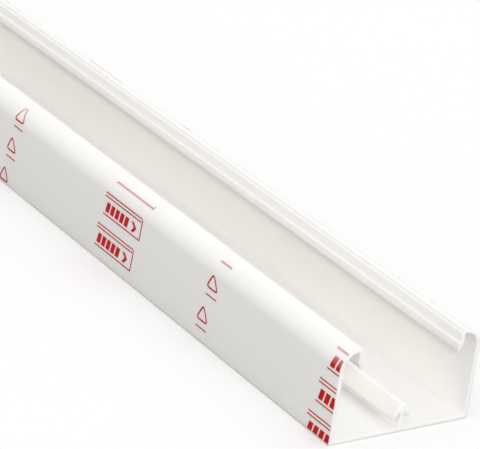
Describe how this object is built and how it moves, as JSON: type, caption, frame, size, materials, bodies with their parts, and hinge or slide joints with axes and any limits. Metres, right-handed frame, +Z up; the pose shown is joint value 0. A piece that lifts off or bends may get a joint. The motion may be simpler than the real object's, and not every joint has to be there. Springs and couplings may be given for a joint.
{
  "type": "cable trunking body",
  "caption": "Open-topped white plastic cable trunking body with rounded shoulders, inner lips that hold a cover, and an arrow-shaped rail along its floor.",
  "frame": {"origin": "middle of the underside, half way along the length", "axes": "+X along the length, +Y across the width, +Z up out of the open top"},
  "size_m": [2, 0.08, 0.048],
  "materials": {
    "white_pvc": "smooth white rigid PVC extrusion with a soft sheen",
    "red_ink": "thin red ink printed on the outer sides, faintly glossy"
  },
  "bodies": {
    "root": {"trunking_body": "white_pvc"}
  },
  "joints": []
}
